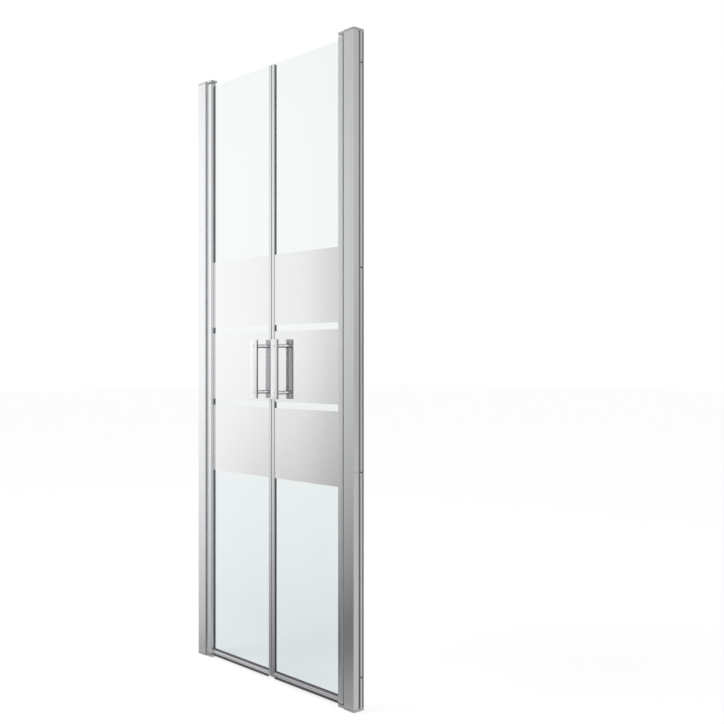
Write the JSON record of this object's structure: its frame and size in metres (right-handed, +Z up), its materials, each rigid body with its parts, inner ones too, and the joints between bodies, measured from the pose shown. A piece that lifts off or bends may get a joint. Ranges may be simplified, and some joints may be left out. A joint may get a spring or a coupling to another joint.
{
  "type": "hinged shower door",
  "caption": "Frameless-look swing shower door for a niche: glass leaves with mirror bands and bar handles, on pivot pins between wall profiles.",
  "frame": {"origin": "on the tray, midway between the walls, in the middle of the glass thickness", "axes": "+X to the right seen from the room, +Y into the shower, +Z up"},
  "size_m": [0.8, 0.07, 1.95],
  "materials": {
    "aluminium": "satin silver anodised",
    "bracket": "satin cast",
    "steel": "stainless",
    "chrome": "polished",
    "glass": "clear toughened glass",
    "mirror": "mirror coating",
    "lining": "matt dark",
    "seal": "matt grey",
    "plastic": "matt light grey"
  },
  "bodies": {
    "frame": {"left_wall_profile": "aluminium", "left_adjusting_profile": "aluminium", "left_top_bracket": "bracket", "left_bottom_bracket": "bracket", "left_pivot_pins": "steel", "left_bracket_screws": "steel", "left_clamp_screws": "steel", "left_clamp_nuts": "steel", "left_pivot_seal": "seal", "right_wall_profile": "aluminium", "right_adjusting_profile": "aluminium", "right_top_bracket": "bracket", "right_bottom_bracket": "bracket", "right_pivot_pins": "steel", "right_bracket_screws": "steel", "right_clamp_screws": "steel", "right_clamp_nuts": "steel", "right_pivot_seal": "seal"},
    "left_leaf": {"left_turning_profile": "aluminium", "left_hinge_bushes": "plastic", "left_hinge_lining": "lining", "left_glass_pane": "glass", "left_mirror_bands": "mirror", "left_meeting_profile": "aluminium", "left_meeting_lining": "lining", "left_magnet_strip": "lining", "left_bottom_rail": "aluminium", "left_rail_lining": "lining", "left_drip_seal": "seal", "left_rail_end_caps": "plastic", "left_front_handle_bar": "chrome", "left_rear_handle_bar": "chrome", "left_handle_posts": "chrome", "left_handle_washers": "plastic", "left_handle_studs": "steel", "left_handle_screws": "steel"},
    "right_leaf": {"right_turning_profile": "aluminium", "right_hinge_bushes": "plastic", "right_hinge_lining": "lining", "right_glass_pane": "glass", "right_mirror_bands": "mirror", "right_meeting_profile": "aluminium", "right_meeting_lining": "lining", "right_magnet_strip": "lining", "right_bottom_rail": "aluminium", "right_rail_lining": "lining", "right_drip_seal": "seal", "right_rail_end_caps": "plastic", "right_front_handle_bar": "chrome", "right_rear_handle_bar": "chrome", "right_handle_posts": "chrome", "right_handle_washers": "plastic", "right_handle_studs": "steel", "right_handle_screws": "steel"}
  },
  "joints": [
    {"name": "left_swing", "type": "hinge", "parent": "frame", "child": "left_leaf", "pos_m": [-0.34, 0, 0], "axis": [0, 0, -1], "range_deg": [-90, 90]},
    {"name": "right_swing", "type": "hinge", "parent": "frame", "child": "right_leaf", "pos_m": [0.34, 0, 0], "axis": [0, 0, 1], "range_deg": [-90, 90]}
  ]
}
